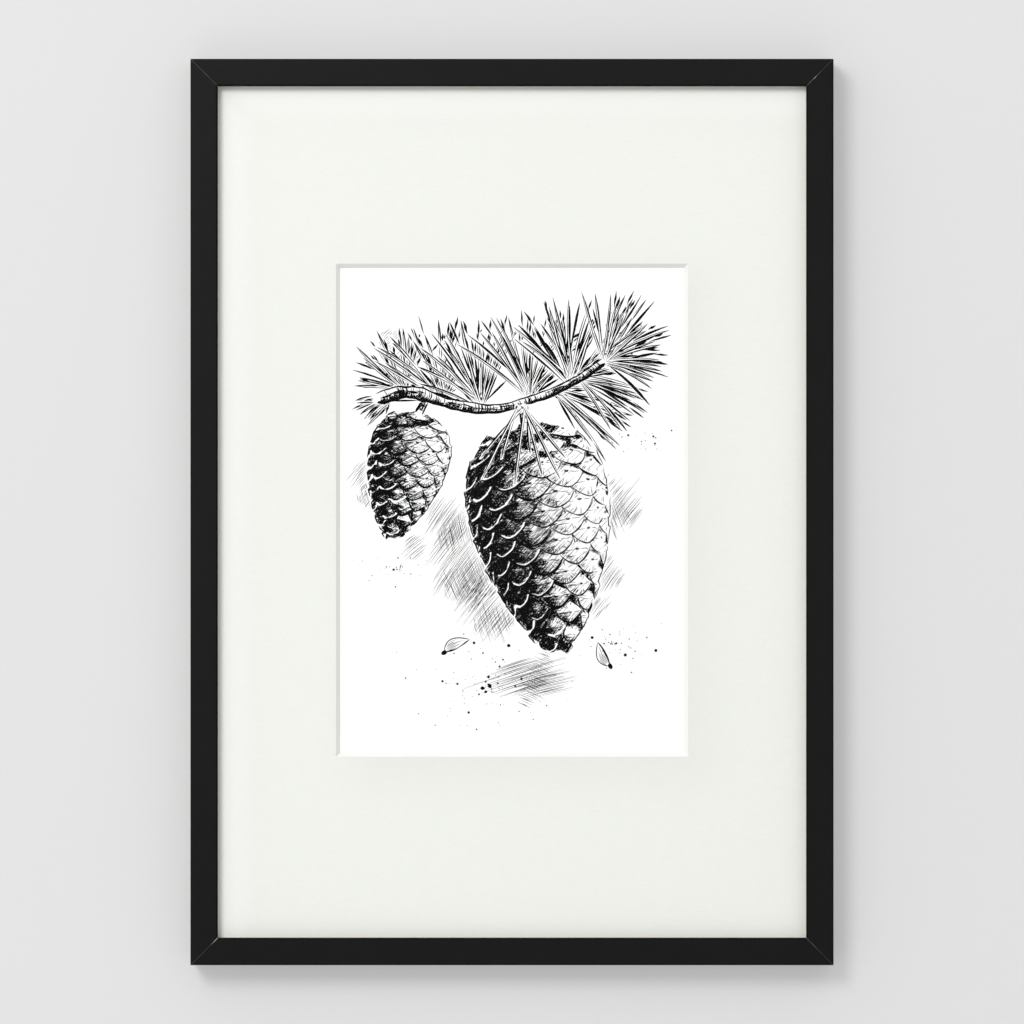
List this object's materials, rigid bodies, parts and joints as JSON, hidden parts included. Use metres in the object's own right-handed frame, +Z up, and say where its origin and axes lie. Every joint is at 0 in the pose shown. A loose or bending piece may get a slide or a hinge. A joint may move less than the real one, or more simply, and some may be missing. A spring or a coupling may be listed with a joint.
{
  "type": "framed art print",
  "caption": "Slim black mitred picture frame with glass, a wide off-white window mat and a black ink print on white paper, for hanging upright on a wall.",
  "frame": {"origin": "the middle notch of the sawtooth hanger, in the plane of the wall", "axes": "+Z up the picture, +Y into the wall, so the picture faces -Y with +X to its right"},
  "size_m": [0.3786, 0.024, 0.5334],
  "materials": {
    "frame_paint": "satin black paint on wood",
    "clear_glass": "clear polished",
    "window_board": "fine-textured off-white with a white core",
    "print_paper": "smooth white drawing paper with black ink",
    "backing_board": "plain off-white board",
    "fibreboard": "bare brown hardboard",
    "linen_tape": "white linen tape",
    "zinc_steel": "zinc-plated, dull",
    "brassed_steel": "bright stamped plate",
    "bumper_rubber": "matt"
  },
  "bodies": {
    "root": {"rail_top": "frame_paint", "rail_bottom": "frame_paint", "stile_left": "frame_paint", "stile_right": "frame_paint", "glazing": "clear_glass", "window_mat": "window_board", "art_print": "print_paper", "backing_mat": "backing_board", "back_board": "fibreboard", "hinge_tape_left": "linen_tape", "hinge_tape_right": "linen_tape", "corner_wedge_top_left": "zinc_steel", "corner_wedge_top_right": "zinc_steel", "corner_wedge_bottom_left": "zinc_steel", "corner_wedge_bottom_right": "zinc_steel", "flexible_point_rail_top_1": "zinc_steel", "flexible_point_rail_top_2": "zinc_steel", "flexible_point_rail_bottom_1": "zinc_steel", "flexible_point_rail_bottom_2": "zinc_steel", "flexible_point_stile_left_1": "zinc_steel", "flexible_point_stile_left_2": "zinc_steel", "flexible_point_stile_left_3": "zinc_steel", "flexible_point_stile_right_1": "zinc_steel", "flexible_point_stile_right_2": "zinc_steel", "flexible_point_stile_right_3": "zinc_steel", "sawtooth_hanger": "brassed_steel", "hanger_nail_left": "brassed_steel", "hanger_nail_right": "brassed_steel", "bumper_left": "bumper_rubber", "bumper_right": "bumper_rubber"}
  },
  "joints": []
}
